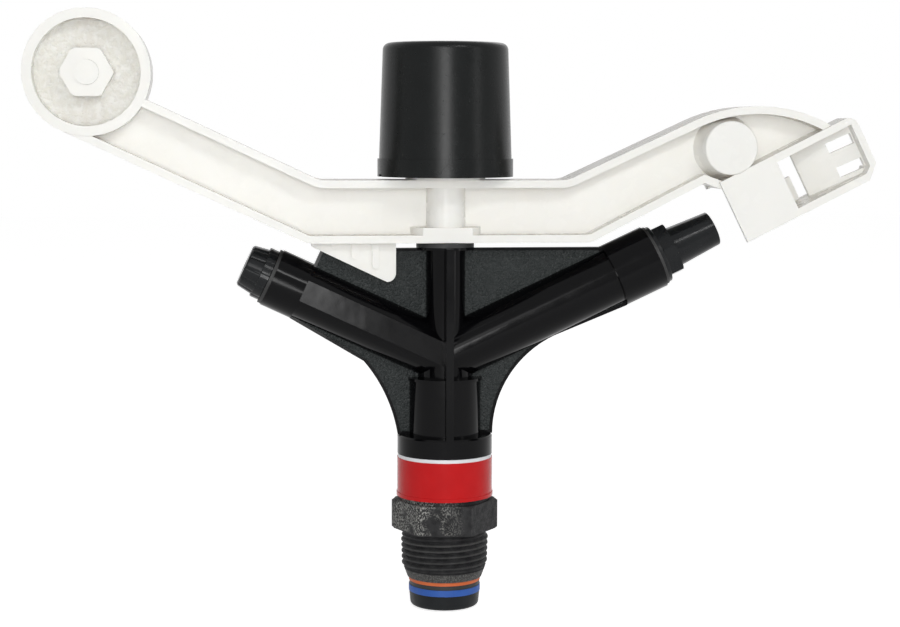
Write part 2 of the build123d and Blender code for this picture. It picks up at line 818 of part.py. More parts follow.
def spring_cap():
    """Cap over the arm spring, held on the pin by its inner post."""
    band_top = cap_bottom + cap_band_height
    shell = post(cap_band_radius, cap_bottom, band_top)
    taper = Pos(0, 0, band_top) * round_bar(cap_foot_radius, cap_top - band_top, cap_top_radius)
    shell += fillet(taper.edges().group_by(Axis.Z)[-1], cap_round)
    inside = Pos(0, 0, cap_bottom) * round_bar(
        cap_foot_radius - cap_wall, cap_height - cap_wall, cap_top_radius - cap_wall
    )
    shell -= inside
    notch = Box(2 * cap_wall + 2 * cap_band_step, cap_notch_width, 2 * cap_notch_height)
    shell -= Rot(0, 0, 12) * Pos(-cap_band_radius, 0, cap_bottom) * notch
    shell += post(post_radius, post_bottom, cap_top - cap_wall) + spring_anchor()
    return shell - post(pin_radius + fit_gap, post_bottom, post_bottom + post_socket)


def spring_anchor():
    """Rib between the cap's post and top that holds the upper leg of the arm spring."""
    bottom = arm_top + spring_shelf_height + arm_spring_height
    height = cap_top - cap_wall - bottom - axial_gap
    align = (Align.MIN, Align.CENTER, Align.MIN)
    rib = Pos(0, 0, bottom + axial_gap) * Box(anchor_reach, anchor_width, height, align=align)
    hole = Cylinder(arm_wire / 2 + axial_gap, 2 * spring_leg + 2 * axial_gap)
    return rib - at_leg(-1, bottom) * hole


def arm_spring():
    """Torsion spring that swings the arm back, with one leg up and one leg down."""
    bottom = arm_top + spring_shelf_height
    coil = helical_spring(arm_spring_radius, arm_wire, arm_spring_coils, bottom, arm_spring_height)
    leg = post(arm_wire / 2, 0, spring_leg)
    lower = at_leg(1, bottom + arm_wire / 2 - spring_leg) * leg
    upper = at_leg(-1, bottom + arm_spring_height - arm_wire / 2) * leg
    return coil + lower + upper


def write(name, shape):
    """Write one piece to its own file."""
    export_step(shape, f"parts/{name}.step")


def main():
    """Build every piece and write it."""
    os.makedirs("parts", exist_ok=True)
    lower_seal, middle_seal, upper_seal = seal_washers()
    pieces = {
        "inlet_nipple": inlet_nipple(),
        "spring_seat": ring(neck_radius, tube_radius + run_gap, neck_top, neck_top + spring_seat_height),
        "bearing_spring": bearing_spring(),
        "seal_washer_lower": lower_seal,
        "seal_washer_middle": middle_seal,
        "seal_washer_upper": upper_seal,
        "sand_sleeve": sand_sleeve(),
        "sleeve_washer": ring(
            sleeve_radius - sleeve_washer_inset, tube_radius + run_gap, sleeve_top, collar_bottom
        ),
        "bearing_tube": bearing_tube(),
        "tube_gasket": ring(tube_radius, tube_bore, tube_reach, tube_reach + tube_gasket_height),
        "sprinkler_body": sprinkler_body(),
        "range_nozzle": range_nozzle(),
        "range_gasket": nozzle_gasket(1, range_gasket_radius, range_collar_start + range_collar_length),
        "stream_vane": stream_vane(),
        "spreader_nozzle": spreader_nozzle(),
        "spreader_gasket": nozzle_gasket(
            -1, spreader_gasket_radius, spreader_collar_start + spreader_collar_length
        ),
        "fulcrum_pin": fulcrum_pin(),
        "pivot_pad": ring(pad_radius, pin_radius + run_gap, body_top, body_top + pad_height),
        "drive_arm": drive_arm(),
        "arm_bushing_lower": arm_bushing(arm_bottom),
        "arm_bushing_upper": arm_bushing(spigot_top - bushing_length),
        "thrust_washer": ring(
            thrust_washer_radius, pin_radius + run_gap, thrust_bottom, thrust_bottom + thrust_washer_height
        ),
        "counterweight_disc": counterweight_disc(),
        "counterweight_bolt": counterweight_bolt(),
        "counterweight_nut": counterweight_nut(),
        "balance_slug": balance_slug(),
        "spring_cap": spring_cap(),
        "arm_spring": arm_spring(),
    }
    for name, shape in pieces.items():
        write(name, shape)


main()
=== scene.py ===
import json
from math import cos, pi, radians, sin

import bpy
from mathutils import Matrix, Vector


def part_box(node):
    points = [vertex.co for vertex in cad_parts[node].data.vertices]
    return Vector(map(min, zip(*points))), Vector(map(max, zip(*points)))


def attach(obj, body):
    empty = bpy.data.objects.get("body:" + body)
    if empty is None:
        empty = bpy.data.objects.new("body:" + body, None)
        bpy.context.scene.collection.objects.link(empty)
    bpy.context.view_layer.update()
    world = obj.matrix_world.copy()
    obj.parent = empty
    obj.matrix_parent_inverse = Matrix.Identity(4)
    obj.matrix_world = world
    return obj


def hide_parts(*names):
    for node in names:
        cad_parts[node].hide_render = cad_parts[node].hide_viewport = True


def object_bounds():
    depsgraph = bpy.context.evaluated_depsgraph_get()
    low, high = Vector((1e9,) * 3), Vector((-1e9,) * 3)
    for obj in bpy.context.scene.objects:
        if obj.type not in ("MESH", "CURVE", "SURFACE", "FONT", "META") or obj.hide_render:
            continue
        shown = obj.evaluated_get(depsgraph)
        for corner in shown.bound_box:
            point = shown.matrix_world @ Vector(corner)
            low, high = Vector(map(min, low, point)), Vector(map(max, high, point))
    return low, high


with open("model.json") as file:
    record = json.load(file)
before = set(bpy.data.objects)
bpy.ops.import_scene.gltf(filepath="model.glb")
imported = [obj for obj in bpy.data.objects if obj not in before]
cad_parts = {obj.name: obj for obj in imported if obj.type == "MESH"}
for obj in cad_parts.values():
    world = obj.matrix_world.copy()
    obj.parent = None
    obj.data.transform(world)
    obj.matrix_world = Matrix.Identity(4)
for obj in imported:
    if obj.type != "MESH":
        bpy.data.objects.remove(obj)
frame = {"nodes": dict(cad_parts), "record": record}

# Looks of the two-nozzle impulse sprinkler. Metres, +Z up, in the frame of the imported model.

CAD_LOW, CAD_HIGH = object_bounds()

# Camera, at the photograph's place
IMAGE_WIDTH = 900
FOCAL_PIXELS = 1870.0
SENSOR_WIDTH = 36.0
CAMERA_PLACE = (-0.07757, -0.69770, 0.1535)
CAMERA_AZIMUTH = radians(-6.5)
CAMERA_PITCH = radians(5.82)
CAMERA_ROLL = radians(0.15)

# Light and backdrop
AMBIENT = 0.55
AMBIENT_TILT = 0.75   # share of the ambient light lost straight up and straight down
BACKDROP = 1.0        # strength of the white that is seen behind the object
FLOOR_SIZE = 6.0
FLOOR_COLOUR = (0.85, 0.85, 0.85)
FLOOR_LIFT = 0.76     # glow that brings the floor up to the backdrop's white
FLOOR_GAP = 0.0005
LAMPS = {
    # name: place, aimed at, width, height, watts
    "key": ((-0.30, -1.25, 0.50), (0.0, 0.0, 0.09), 0.60, 0.40, 2.3),
    "edge": ((0.27, -0.72, 0.60), (0.0, 0.0, 0.08), 0.40, 0.07, 1.3),
    "fill": ((0.95, -0.75, 0.25), (0.0, 0.0, 0.09), 0.12, 0.70, 0.9),
    "rim": ((0.25, 0.80, 0.70), (0.0, 0.0, 0.09), 0.60, 0.40, 0.8),
    "strip": ((-0.10, -0.99, 0.14), (0.0, 0.0, 0.12), 0.24, 0.36, 3.0),
}

# Plain materials
PLASTICS = {
    # slot: dark and light colour, low and high roughness, grains per metre, relief, specular level
    "cap_black": ((0.002, 0.003, 0.003), (0.004, 0.005, 0.005), 0.24, 0.28, 3000.0, 0.00003, 0.18),
    "tube_black": ((0.008, 0.009, 0.010), (0.013, 0.015, 0.016), 0.38, 0.5, 2200.0, 0.00004, 0.15),
    "nozzle_black": ((0.003, 0.004, 0.005), (0.007, 0.008, 0.009), 0.16, 0.26, 1500.0, 0.00003, 0.20),
    "sleeve_red": ((0.50, 0.004, 0.006), (0.55, 0.006, 0.008), 0.14, 0.22, 900.0, 0.00002, 0.15),
    "washer_white": ((0.72, 0.74, 0.77), (0.82, 0.84, 0.86), 0.35, 0.5, 1500.0, 0.00002, 0.5),
    "seal_blue": ((0.018, 0.085, 0.36), (0.026, 0.11, 0.43), 0.45, 0.6, 1800.0, 0.00003, 0.4),
    "seal_black": ((0.012, 0.012, 0.012), (0.020, 0.020, 0.020), 0.45, 0.6, 1800.0, 0.00003, 0.4),
    "seal_orange": ((0.60, 0.12, 0.03), (0.68, 0.16, 0.05), 0.45, 0.6, 1800.0, 0.00003, 0.4),
    "bushing_nylon": ((0.72, 0.71, 0.65), (0.80, 0.79, 0.74), 0.35, 0.5, 1500.0, 0.00002, 0.5),
}
METALS = {
    # slot: dark and light colour, low and high roughness, stretch of the fine lines
    "stainless": ((0.50, 0.50, 0.48), (0.66, 0.66, 0.64), 0.18, 0.32, (1.0, 1.0, 0.04)),
    "weight_steel": ((0.42, 0.42, 0.40), (0.56, 0.56, 0.55), 0.25, 0.42, (1.0, 1.0, 1.0)),
}

# Materials that change from place to place
PLAIN_LOOKS = {
    # slot: colour, roughness and specular level without the changes
    "nipple_black": ((0.03, 0.03, 0.031), 0.55, 0.16),
    "body_black": ((0.003, 0.003, 0.004), 0.12, 0.11),
    "arm_ivory": ((0.88, 0.87, 0.81), 0.28, 0.15),
}
NIPPLE_DARK = (0.014, 0.014, 0.015)
NIPPLE_LIGHT = (0.034, 0.034, 0.035)
NIPPLE_WORN = (0.33, 0.33, 0.31)
CREST_PALENESS = 0.10
LEAD_PALENESS = 0.12
LEAD_SPECKS = 0.25
BODY_GLOSSY = (0.002, 0.002, 0.0025)
BODY_PEBBLED = (0.030, 0.034, 0.034)
PEBBLE_DULLNESS = 0.20
IVORY_DARK = (0.872, 0.864, 0.822)
IVORY_LIGHT = (0.890, 0.884, 0.848)
# painted shade: brownish colour, and its share, that darken the level faces of the ivory, tops and
# undersides alike
IVORY_PAINTED_SHADE = (0.40, 0.33, 0.26)
IVORY_STAINED = (0.70, 0.67, 0.58)
PAINTED_SHADE_SHARE = 0.5
STAIN_SHARE = 0.35
HUB_DULLNESS = 0.20

# Ranges of a noise, each from none of it showing to all of it
WHOLE_NOISE = (0.3, 0.7)
CLOUDS = (0.35, 0.70)
SPECKS = (0.50, 0.58)
PATCHES = (0.40, 0.52)
BLOTCHES = (0.40, 0.62)

# Places and slopes where a material changes, each from none of it to all of it
SCUFFED_SIDE = (0.006, -0.006)
HEXAGON_FADE = (0.0002, 0.0006)
FACING_FRONT = (0.90, 0.98)
# slopes of the level faces, up or down, that get the ivory's painted shade
FACING_UP = (0.80, 0.97)
PEBBLED_DEPTH = (0.00145, 0.0013)
HUB_CENTRE = (-0.1311, 0.1714)
HUB_EDGE = (0.0194, 0.0190)
HUB_FLOOR = -0.0022
HUB_FLOOR_FADE = (0.0003, 0.0001)

# Nipple, with the real thread in place of the plain one
THREAD_PITCH = 0.002209
THREAD_DEPTH = 0.00125
THREAD_TAPER = 0.03125
THREAD_TOP = -0.0008
THREAD_RELIEF = 0.0152
THREAD_LENGTH = 0.015
RIDGE_PEAK = 1.25     # of the ridge's height, cut off at 1 to leave a flat crest
RIDGE_SLOPE = 2.5
LEAD_FADE = 0.6       # turns over which the thread starts
LEAD_RADIUS = 0.0142
LEAD_TOP_RADIUS = 0.01545
LEAD_WEAR = (-THREAD_LENGTH, -THREAD_LENGTH - 0.0006)
CREST_RADIUS = 0.01668
CREST_WEAR = (CREST_RADIUS - 0.0006, CREST_RADIUS - 0.0001)
HEX_HALF = 0.01745
HEX_TURN = -6.4       # degrees to a corner of the hexagon, where every ring starts
HEX_HEIGHT = 0.0114
HEX_CHAMFER = 0.0007
HEX_CUTS = (
    # height, and how much is cut off the corners
    (0.0, HEX_CHAMFER),
    (HEX_CHAMFER * 0.6, 0.0),
    (HEX_HEIGHT - HEX_CHAMFER, 0.0),
    (HEX_HEIGHT, 1.6 * HEX_CHAMFER),
)
NECK_RADIUS = 0.0168
NIPPLE_BORE = 0.01056
ROWS_PER_TURN = 12
ANGLE_STEPS = 144
SHARP_ANGLE = radians(30.0)

# Nozzles: place along the branch from where the branches cross, and radius
CROSSING_HEIGHT = 0.0659
BRANCH_ANGLE = radians(25.0)
RANGE_ROOT = (
    (0.0784, 0.0080),
    (0.0784, 0.00925),
    (0.0891, 0.00925),
    (0.0891, 0.0112),
    (0.0892, 0.0113),
    (0.0904, 0.0113),
    (0.0905, 0.0112),
)
RANGE_HEX_HALF = 0.0093
RANGE_HEX_TURN = 168.5
RANGE_HEX_CUTS = ((0.0905, 0.0005), (0.0908, 0.0), (0.0955, 0.0), (0.0959, 0.0006))
RANGE_TIP = ((0.0959, 0.00775), (0.1130, 0.0067), (0.1133, 0.0064), (0.1133, 0.0044), (0.0969, 0.0044))
SPREADER_ROOT = ((0.0621, 0.0080), (0.0621, 0.00925), (0.0728, 0.00925), (0.0728, 0.0097), (0.0730, 0.00985))
SPREADER_GRIP = ((0.0762, 0.00985), (0.0765, 0.0096), (0.0765, 0.00895), (0.0820, 0.0081))
SPREADER_END = ((0.0826, 0.0074), (0.0826, 0.0024), (0.0784, 0.0024))
FLUTES = 12
FLUTE_DEPTH = 0.00035
FLUTE_POWER = 6       # of a cosine, so that the flutes are narrower than the ribs

# Spoon, cut back behind its panel and its blade, in a slanted frame: along, below and depth, from and to
SPOON_X = 0.1024
SPOON_Z = 0.1315
SPOON_ANGLE = radians(26.5)
SPOON_CUTS = (
    ((-0.0070, 0.0058), (0.0100, 0.0262), (-0.0091, 0.0105)),
    ((-0.0070, -0.0015), (-0.0010, 0.0035), (0.0072, 0.0105)),
    ((0.0445, 0.0548), (-0.0010, 0.0262), (0.0005, 0.0105)),
    ((0.0546, 0.0580), (-0.0010, 0.0262), (-0.0039, 0.0105)),
)
BOX_FACES = ((0, 1, 3, 2), (4, 6, 7, 5), (0, 4, 5, 1), (2, 3, 7, 6), (0, 2, 6, 4), (1, 5, 7, 3))

# Rounded edges of the moulded pieces
WELD_DISTANCE = 0.000002
FLAT_ANGLE = radians(0.5)
ROUND_ANGLE = radians(40.0)
ROUND_SEGMENTS = 2
FACE_WEIGHT = 80
ARM_EDGE_WIDTH = 0.0006
BODY_EDGE_WIDTH = 0.0004

# Springs, as round wire, the bearing spring at its pressed length
ARM_SPRING = {"radius": 0.0122, "wire": 0.0016, "coils": 7.0, "low": 0.1340, "high": 0.1670}
BEARING_SPRING = {"radius": 0.01365, "wire": 0.0020, "coils": 3.5, "low": 0.0174, "high": 0.0261}
END_TURN = 0.5        # turns that lie nearly flat at either end
END_RISE = 0.1        # share of the rise that is spread over the whole wire
SPRING_STEPS = 40
WIRE_SIDES = 12


def add(tree, kind, values=(), **settings):
    """Add one node, with its settings and the values of its inputs."""
    node = tree.nodes.new(kind)
    for name, value in settings.items():
        setattr(node, name, value)
    for socket, value in dict(values).items():
        node.inputs[socket].default_value = value
    return node


def start_material(name, colour, roughness, specular=0.5):
    """New material with the constants on the shader's own sockets."""
    material = bpy.data.materials.new(name)
    material.use_nodes = True
    tree = material.node_tree
    shader = tree.nodes["Principled BSDF"]
    shader.inputs["Base Color"].default_value = (*colour, 1.0)
    shader.inputs["Roughness"].default_value = roughness
    shader.inputs["Specular IOR Level"].default_value = specular
    return material, tree, shader


def place_of(tree, stretch=(1.0, 1.0, 1.0)):
    """Object coordinates, stretched along the axes."""
    source = add(tree, "ShaderNodeTexCoord")
    mapping = add(tree, "ShaderNodeMapping", {"Scale": stretch})
    tree.links.new(source.outputs["Object"], mapping.inputs["Vector"])
    return mapping.outputs["Vector"]


def noise(tree, grains, detail=3.0, roughness=0.5, stretch=(1.0, 1.0, 1.0)):
    """Grey noise with the given number of grains per metre."""
    texture = add(tree, "ShaderNodeTexNoise", {"Scale": grains, "Detail": detail, "Roughness": roughness})
    tree.links.new(place_of(tree, stretch), texture.inputs["Vector"])
    return texture.outputs["Fac"]


def remap(tree, value, from_low, from_high, to_low=0.0, to_high=1.0):
    """Value moved from one range to another, and held inside it."""
    node = add(
        tree,
        "ShaderNodeMapRange",
        {"From Min": from_low, "From Max": from_high, "To Min": to_low, "To Max": to_high},
    )
    tree.links.new(value, node.inputs["Value"])
    return node.outputs["Result"]


def spread(tree, value, low=0.0, high=1.0):
    """Noise spread over a whole range."""
    return remap(tree, value, *WHOLE_NOISE, low, high)


def calculate(tree, operation, first, second=None):
    """One calculation on one or two values, each a socket or a number."""
    node = add(tree, "ShaderNodeMath", operation=operation)
    for value, socket in ((first, node.inputs[0]), (second, node.inputs[1])):
        if isinstance(value, (int, float)):
            socket.default_value = value
        elif value is not None:
            tree.links.new(value, socket)
    return node.outputs[0]


def multiply(tree, first, second):
    """Product of two values, each a socket or a number."""
    return calculate(tree, "MULTIPLY", first, second)


def length_of(tree, first, second):
    """Length of two values at right angles."""
    squares = [calculate(tree, "POWER", value, 2.0) for value in (first, second)]
    return calculate(tree, "SQRT", calculate(tree, "ADD", *squares))


def blend_colours(tree, factor, first, second):
    """Mix of two colours, each a socket or three numbers."""
    node = add(tree, "ShaderNodeMix", data_type="RGBA")
    tree.links.new(factor, node.inputs["Factor"])
    sockets = [socket for socket in node.inputs if socket.type == "RGBA"]
    for value, socket in zip((first, second), sockets):
        if isinstance(value, tuple):
            socket.default_value = (*value, 1.0)
        else:
            tree.links.new(value, socket)
    return [socket for socket in node.outputs if socket.type == "RGBA"][0]


def bump(tree, height, distance, strength=1.0, below=None):
    """Surface relief of the given height in metres, over another one."""
    node = add(tree, "ShaderNodeBump", {"Strength": strength, "Distance": distance})
    tree.links.new(height, node.inputs["Height"])
    if below is not None:
        tree.links.new(below, node.inputs["Normal"])
    return node.outputs["Normal"]


def axis_value(tree, axis):
    """One object coordinate as a value."""
    split = add(tree, "ShaderNodeSeparateXYZ")
    tree.links.new(place_of(tree), split.inputs["Vector"])
    return split.outputs[axis]


def facing_value(tree, axis):
    """How squarely a surface faces along an axis, either way, from 0 to 1."""
    geometry = add(tree, "ShaderNodeNewGeometry")
    split = add(tree, "ShaderNodeSeparateXYZ")
    tree.links.new(geometry.outputs["Normal"], split.inputs["Vector"])
    return calculate(tree, "ABSOLUTE", split.outputs[axis])


def hexagon_scuffs(tree, specks):
    """Specks in patches, on one side of the wrench faces."""
    side = remap(tree, axis_value(tree, "X"), *SCUFFED_SIDE)
    patches = remap(tree, noise(tree, grains=120.0, detail=2.0), *PATCHES)
    above = remap(tree, axis_value(tree, "Z"), *HEXAGON_FADE)
    return multiply(tree, multiply(tree, specks, multiply(tree, patches, side)), above)


def thread_wear(tree):
    """Slight wear on the crests of the thread."""
    radius = length_of(tree, axis_value(tree, "X"), axis_value(tree, "Y"))
    crest = remap(tree, radius, *CREST_WEAR)
    below = remap(tree, multiply(tree, axis_value(tree, "Z"), -1.0), *HEXAGON_FADE)
    return multiply(tree, multiply(tree, crest, below), CREST_PALENESS)


def lead_wear(tree, specks):
    """Grey haze with specks on the cone under the thread."""
    lead = remap(tree, axis_value(tree, "Z"), *LEAD_WEAR)
    haze = calculate(tree, "ADD", multiply(tree, specks, LEAD_SPECKS), LEAD_PALENESS)
    return multiply(tree, lead, haze)


def nipple_colour(tree, specks):
    """Nearly black in clouds, and paler where the nipple is worn."""
    clouds = remap(tree, noise(tree, grains=320.0, detail=4.0), *CLOUDS)
    colour = blend_colours(tree, clouds, NIPPLE_DARK, NIPPLE_LIGHT)
    worn = calculate(tree, "MAXIMUM", hexagon_scuffs(tree, specks), thread_wear(tree))
    worn = calculate(tree, "MAXIMUM", worn, lead_wear(tree, specks))
    return blend_colours(tree, worn, colour, NIPPLE_WORN)


def nipple_material():
    """Glass-filled nylon with a fine grain, worn on the wrench faces and on the thread."""
    material, tree, shader = start_material("nipple_black", *PLAIN_LOOKS["nipple_black"])
    fine = noise(tree, grains=2100.0, detail=4.0, roughness=0.6, stretch=(1.0, 1.0, 0.7))
    specks = remap(tree, fine, *SPECKS)
    tree.links.new(nipple_colour(tree, specks), shader.inputs["Base Color"])
    dull = spread(tree, noise(tree, grains=700.0), low=0.48, high=0.72)
    tree.links.new(dull, shader.inputs["Roughness"])
    grain = bump(tree, noise(tree, grains=2600.0, detail=4.0), distance=0.00012)
    scuffed = bump(tree, specks, distance=0.00008, strength=0.6, below=grain)
    tree.links.new(scuffed, shader.inputs["Normal"])
    return material


def plate_mask(tree):
    """1 on the flat front and back of the plate, 0 elsewhere."""
    flat = remap(tree, facing_value(tree, "Y"), *FACING_FRONT)
    depth = calculate(tree, "ABSOLUTE", axis_value(tree, "Y"))
    return multiply(tree, flat, remap(tree, depth, *PEBBLED_DEPTH))


def pebbles(tree):
    """Rounded lumps, 1 in their middles and 0 between them."""
    cells = add(tree, "ShaderNodeTexVoronoi", {"Scale": 1500.0, "Randomness": 1.0}, feature="SMOOTH_F1")
    tree.links.new(place_of(tree, stretch=(1.0, 0.6, 1.0)), cells.inputs["Vector"])
    return remap(tree, cells.outputs["Distance"], 0.0, 0.7, to_low=1.0, to_high=0.0)


def body_material():
    """Glossy black plastic, pebbled on the flat faces of the plate."""
    material, tree, shader = start_material("body_black", *PLAIN_LOOKS["body_black"])
    on_plate = plate_mask(tree)
    lumps = bump(tree, multiply(tree, pebbles(tree), on_plate), distance=0.00040)
    wave = bump(tree, noise(tree, grains=70.0, detail=2.0), distance=0.00025, strength=0.5, below=lumps)
    tree.links.new(wave, shader.inputs["Normal"])
    tree.links.new(blend_colours(tree, on_plate, BODY_GLOSSY, BODY_PEBBLED), shader.inputs["Base Color"])
    gloss = spread(tree, noise(tree, grains=150.0), low=0.08, high=0.17)
    dull = calculate(tree, "ADD", gloss, multiply(tree, on_plate, PEBBLE_DULLNESS))
    tree.links.new(dull, shader.inputs["Roughness"])
    return material


def hub_floor_mask(tree):
    """1 on the floor of the counterweight hub, 0 elsewhere."""
    across = calculate(tree, "SUBTRACT", axis_value(tree, "X"), HUB_CENTRE[0])
    upward = calculate(tree, "SUBTRACT", axis_value(tree, "Z"), HUB_CENTRE[1])
    inside = remap(tree, length_of(tree, across, upward), *HUB_EDGE)
    offset = calculate(tree, "ABSOLUTE", calculate(tree, "SUBTRACT", axis_value(tree, "Y"), HUB_FLOOR))
    return multiply(tree, inside, remap(tree, offset, *HUB_FLOOR_FADE))


def ivory_colour(tree, mottle):
    """Ivory with slow changes of tone, with painted shade darkening the level faces, tops and undersides,
    and stained on the hub's floor.
    """
    slow = spread(tree, noise(tree, grains=24.0, detail=2.0))
    colour = blend_colours(tree, slow, IVORY_DARK, IVORY_LIGHT)
    # painted shade on level faces, where little light falls from above and below
    level = remap(tree, facing_value(tree, "Z"), *FACING_UP, to_high=PAINTED_SHADE_SHARE)
    colour = blend_colours(tree, level, colour, IVORY_PAINTED_SHADE)
    return blend_colours(tree, multiply(tree, mottle, STAIN_SHARE), colour, IVORY_STAINED)


def arm_relief(tree, mottle):
    """Slight sink marks, the mottle of the hub's floor and a fine grain."""
    wave = bump(tree, noise(tree, grains=55.0, detail=2.0), distance=0.0004, strength=0.5)
    rough = bump(tree, mottle, distance=0.0004, strength=0.8, below=wave)
    return bump(tree, noise(tree, grains=1800.0, detail=2.0), distance=0.00003, strength=0.6, below=rough)


def arm_material():
    """Glossy ivory plastic with slight sink marks, and a mottled floor in the hub."""
    material, tree, shader = start_material("arm_ivory", *PLAIN_LOOKS["arm_ivory"])
    shader.inputs["Subsurface Weight"].default_value = 0.06
    shader.inputs["Subsurface Radius"].default_value = (0.004, 0.003, 0.002)
    shader.inputs["Subsurface Scale"].default_value = 1.0
    on_floor = hub_floor_mask(tree)
    blotches = remap(tree, noise(tree, grains=420.0, detail=4.0, roughness=0.6), *BLOTCHES)
    mottle = multiply(tree, blotches, on_floor)
    tree.links.new(ivory_colour(tree, mottle), shader.inputs["Base Color"])
    gloss = spread(tree, noise(tree, grains=130.0), low=0.20, high=0.32)
    dull = calculate(tree, "ADD", gloss, multiply(tree, on_floor, HUB_DULLNESS))
    tree.links.new(dull, shader.inputs["Roughness"])
    tree.links.new(arm_relief(tree, mottle), shader.inputs["Normal"])
    return material


def grained_plastic(name, dark, light, low, high, grains, height, specular):
    """Moulded plastic with a fine even grain and slow changes of tone and gloss."""
    material, tree, shader = start_material(name, light, (low + high) / 2, specular)
    colour = blend_colours(tree, spread(tree, noise(tree, grains=120.0)), dark, light)
    tree.links.new(colour, shader.inputs["Base Color"])
    tree.links.new(spread(tree, noise(tree, grains=420.0), low, high), shader.inputs["Roughness"])
    tree.links.new(bump(tree, noise(tree, grains), distance=height), shader.inputs["Normal"])
    return material


def metal(name, dark, light, low, high, stretch):
    """Bare metal with a fine grain, drawn out into lines by the stretch."""
    material, tree, shader = start_material(name, light, (low + high) / 2)
    shader.inputs["Metallic"].default_value = 1.0
    lines = noise(tree, grains=1200.0, detail=4.0, roughness=0.6, stretch=stretch)
    colour = blend_colours(tree, spread(tree, lines), dark, light)
    tree.links.new(colour, shader.inputs["Base Color"])
    tree.links.new(spread(tree, lines, low, high), shader.inputs["Roughness"])
    tree.links.new(bump(tree, lines, distance=0.00003), shader.inputs["Normal"])
    return material


def make_materials():
    """Every material, by the name of its slot in the record."""
    made = {"nipple_black": nipple_material(), "body_black": body_material(), "arm_ivory": arm_material()}
    for name, values in PLASTICS.items():
        made[name] = grained_plastic(name, *values)
    for name, values in METALS.items():
        made[name] = metal(name, *values)
    return made


def dress_nodes(materials):
    """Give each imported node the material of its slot."""
    for part in frame["record"]["subparts"]:
        node = frame["nodes"][part["node"]]
        node.data.materials.clear()
        node.data.materials.append(materials[part["material_slot"]])


def new_object(name, data):
    """Object with the given data, in the scene."""
    made = bpy.data.objects.new(name, data)
    bpy.context.scene.collection.objects.link(made)
    return made


def mesh_piece(name, points, faces, material):
    """Shaded mesh object, sharp where faces meet at more than an angle."""
    mesh = bpy.data.meshes.new(name)
    mesh.from_pydata(points, [], faces)
    mesh.validate()
    mesh.polygons.foreach_set("use_smooth", [True] * len(mesh.polygons))
    mesh.set_sharp_from_angle(angle=SHARP_ANGLE)
    mesh.materials.append(material)
    piece = new_object(name, mesh)
    return piece


def soften_edges(obj, width):
    """Round the sharp edges of an object with modifiers."""
    obj.modifiers.new("weld", "WELD").merge_threshold = WELD_DISTANCE
    flat = obj.modifiers.new("flat", "DECIMATE")
    flat.decimate_type = "DISSOLVE"
    flat.angle_limit = FLAT_ANGLE
    bevel = obj.modifiers.new("round", "BEVEL")
    bevel.width = width
    bevel.segments = ROUND_SEGMENTS
    bevel.limit_method = "ANGLE"
    bevel.angle_limit = ROUND_ANGLE
    bevel.miter_outer = "MITER_ARC"
    normals = obj.modifiers.new("normals", "WEIGHTED_NORMAL")
    normals.weight = FACE_WEIGHT


def band(first, second, sides):
    """Faces between two rings of points, each ring given by its number."""
    start = first * sides
    end = second * sides
    faces = []
    for side in range(sides):
        beside = (side + 1) % sides
        faces.append((start + side, start + beside, end + beside, end + side))
    return faces


def turned_piece(name, rows, place, material):
    """Closed surface of rings, each with its place along an axis and its radius round it."""
    points = []
    for along, radius in rows:
        for step in range(ANGLE_STEPS):
            turn = HEX_TURN + step * 360.0 / ANGLE_STEPS
            size = radius(turn) if callable(radius) else radius
            points.append(place(along, size * cos(radians(turn)), size * sin(radians(turn))))
    faces = []
    for row in range(len(rows)):
        faces += band(row, (row + 1) % len(rows), ANGLE_STEPS)
    return mesh_piece(name, points, faces, material)


def hexagon_ring(half, first, cut):
    """Radius of a hexagon at an angle in degrees, with its corners cut."""
    corner = half / cos(radians(30.0)) - cut

    def radius(turn):
        inside = (turn - first) % 60.0 - 30.0
        return min(half / cos(radians(inside)), corner)

    return radius


def thread_ring(height):
    """Radius of the pipe thread at an angle in degrees, with a ridge that fades out at both ends."""
    crest = CREST_RADIUS + (height - THREAD_TOP) * THREAD_TAPER
    top_fade = min(1.0, max(0.0, (THREAD_TOP - height) / THREAD_PITCH))
    low_fade = min(1.0, max(0.0, (height + THREAD_LENGTH) / (LEAD_FADE * THREAD_PITCH)))

    def radius(turn):
        phase = (height / THREAD_PITCH - turn / 360.0) % 1.0
        ridge = min(1.0, max(0.0, RIDGE_PEAK - RIDGE_SLOPE * abs(phase - 0.5)))
        return crest - THREAD_DEPTH + THREAD_DEPTH * ridge * min(top_fade, low_fade)

    return radius


def nipple_rows():
    """Heights and radii of the nipple's rings, from the bore's lower end up round the outside."""
    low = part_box("inlet_nipple")[0].z
    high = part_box("inlet_nipple")[1].z
    rows = [(low, NIPPLE_BORE), (low, LEAD_RADIUS), (-THREAD_LENGTH, LEAD_TOP_RADIUS)]
    steps = int((THREAD_LENGTH + THREAD_TOP) / THREAD_PITCH * ROWS_PER_TURN)
    for step in range(1, steps):
        height = -THREAD_LENGTH + (THREAD_LENGTH + THREAD_TOP) * step / steps
        rows.append((height, thread_ring(height)))
    rows += [(THREAD_TOP, THREAD_RELIEF), (0.0, THREAD_RELIEF)]
    rows += [(height, hexagon_ring(HEX_HALF, HEX_TURN, cut)) for height, cut in HEX_CUTS]
    rows += [(HEX_HEIGHT, NECK_RADIUS), (high, NECK_RADIUS), (high, NIPPLE_BORE)]
    return rows


def inlet_nipple(material):
    """Nipple with its real helical thread, as one closed surface."""

    def place(along, across, deep):
        return (across, deep, along)

    piece = turned_piece("inlet_nipple_threaded", nipple_rows(), place, material)
    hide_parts("inlet_nipple")
    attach(piece, "inlet")


def fluted(radius):
    """Radius with shallow flutes, at an angle in degrees."""
    return lambda turn: radius - FLUTE_DEPTH * max(0.0, cos(radians(FLUTES * turn))) ** FLUTE_POWER


